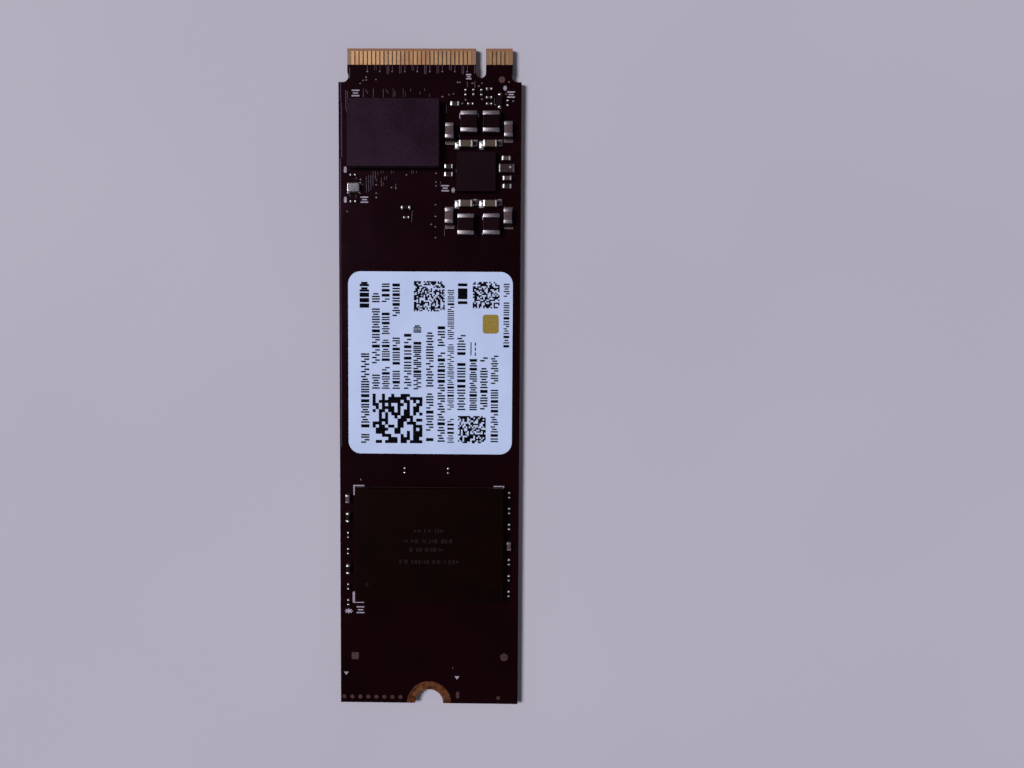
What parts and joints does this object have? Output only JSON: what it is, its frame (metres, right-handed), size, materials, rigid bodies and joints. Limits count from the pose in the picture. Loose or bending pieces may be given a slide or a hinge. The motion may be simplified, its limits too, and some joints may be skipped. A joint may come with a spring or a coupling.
{
  "type": "gumstick solid state drive",
  "caption": "Slim 22 x 80 mm storage card with a keyed gold edge connector, controller, flash chip, power parts, label and half-round mounting notch.",
  "frame": {"origin": "middle of the card's underside", "axes": "+X to the right seen from above, +Y to the edge connector, +Z out of the component side"},
  "size_m": [0.022, 0.08, 0.0019],
  "materials": {
    "solder_mask": "satin",
    "laminate": "matte",
    "controller_mould": "satin",
    "flash_mould": "satin",
    "coil_body": "matte",
    "ceramic_pink": "matte",
    "ceramic_tan": "matte",
    "ceramic_dark": "satin",
    "lid_metal": "satin",
    "label_paper": "matte",
    "gold_plating": "satin",
    "solder_tin": "satin",
    "legend_ink": "matte",
    "label_ink": "matte"
  },
  "bodies": {
    "root": {"circuit_board": "solder_mask", "controller_substrate": "laminate", "controller_cap": "controller_mould", "flash_substrate": "laminate", "flash_cap": "flash_mould", "power_chip": "controller_mould", "inductor_1": "coil_body", "inductor_2": "coil_body", "inductor_3": "coil_body", "inductor_4": "coil_body", "bulk_capacitor_1": "ceramic_pink", "bulk_capacitor_2": "ceramic_pink", "bulk_capacitor_3": "ceramic_pink", "bulk_capacitor_4": "ceramic_pink", "output_capacitor_1": "ceramic_tan", "output_capacitor_2": "ceramic_tan", "output_capacitor_3": "ceramic_tan", "output_capacitor_4": "ceramic_tan", "supply_capacitor_1": "ceramic_tan", "current_sensor": "ceramic_dark", "supply_capacitor_2": "ceramic_tan", "sense_resistor": "ceramic_dark", "feedback_resistor_1": "ceramic_dark", "feedback_resistor_2": "ceramic_dark", "coupling_capacitor_1": "ceramic_tan", "coupling_capacitor_2": "ceramic_tan", "coupling_capacitor_3": "ceramic_tan", "coupling_capacitor_4": "ceramic_tan", "pull_up_resistor_1": "ceramic_dark", "pull_up_resistor_2": "ceramic_dark", "pull_up_resistor_3": "ceramic_dark", "pull_up_resistor_4": "ceramic_dark", "series_resistor": "ceramic_dark", "esd_diode": "controller_mould", "crystal_base": "ceramic_dark", "crystal_lid": "lid_metal", "crystal_capacitor_1": "ceramic_tan", "crystal_capacitor_2": "ceramic_tan", "reset_capacitor": "ceramic_tan", "reset_resistor": "ceramic_dark", "flash_capacitor_01": "ceramic_pink", "flash_capacitor_02": "ceramic_pink", "flash_capacitor_03": "ceramic_pink", "flash_capacitor_04": "ceramic_pink", "flash_capacitor_05": "ceramic_pink", "flash_capacitor_06": "ceramic_pink", "flash_capacitor_07": "ceramic_pink", "flash_capacitor_08": "ceramic_pink", "flash_capacitor_09": "ceramic_pink", "flash_capacitor_10": "ceramic_pink", "flash_capacitor_11": "ceramic_pink", "flash_capacitor_12": "ceramic_pink", "flash_capacitor_13": "ceramic_pink", "flash_capacitor_14": "ceramic_pink", "flash_capacitor_15": "ceramic_pink", "flash_capacitor_16": "ceramic_pink", "label": "label_paper"}
  },
  "joints": []
}
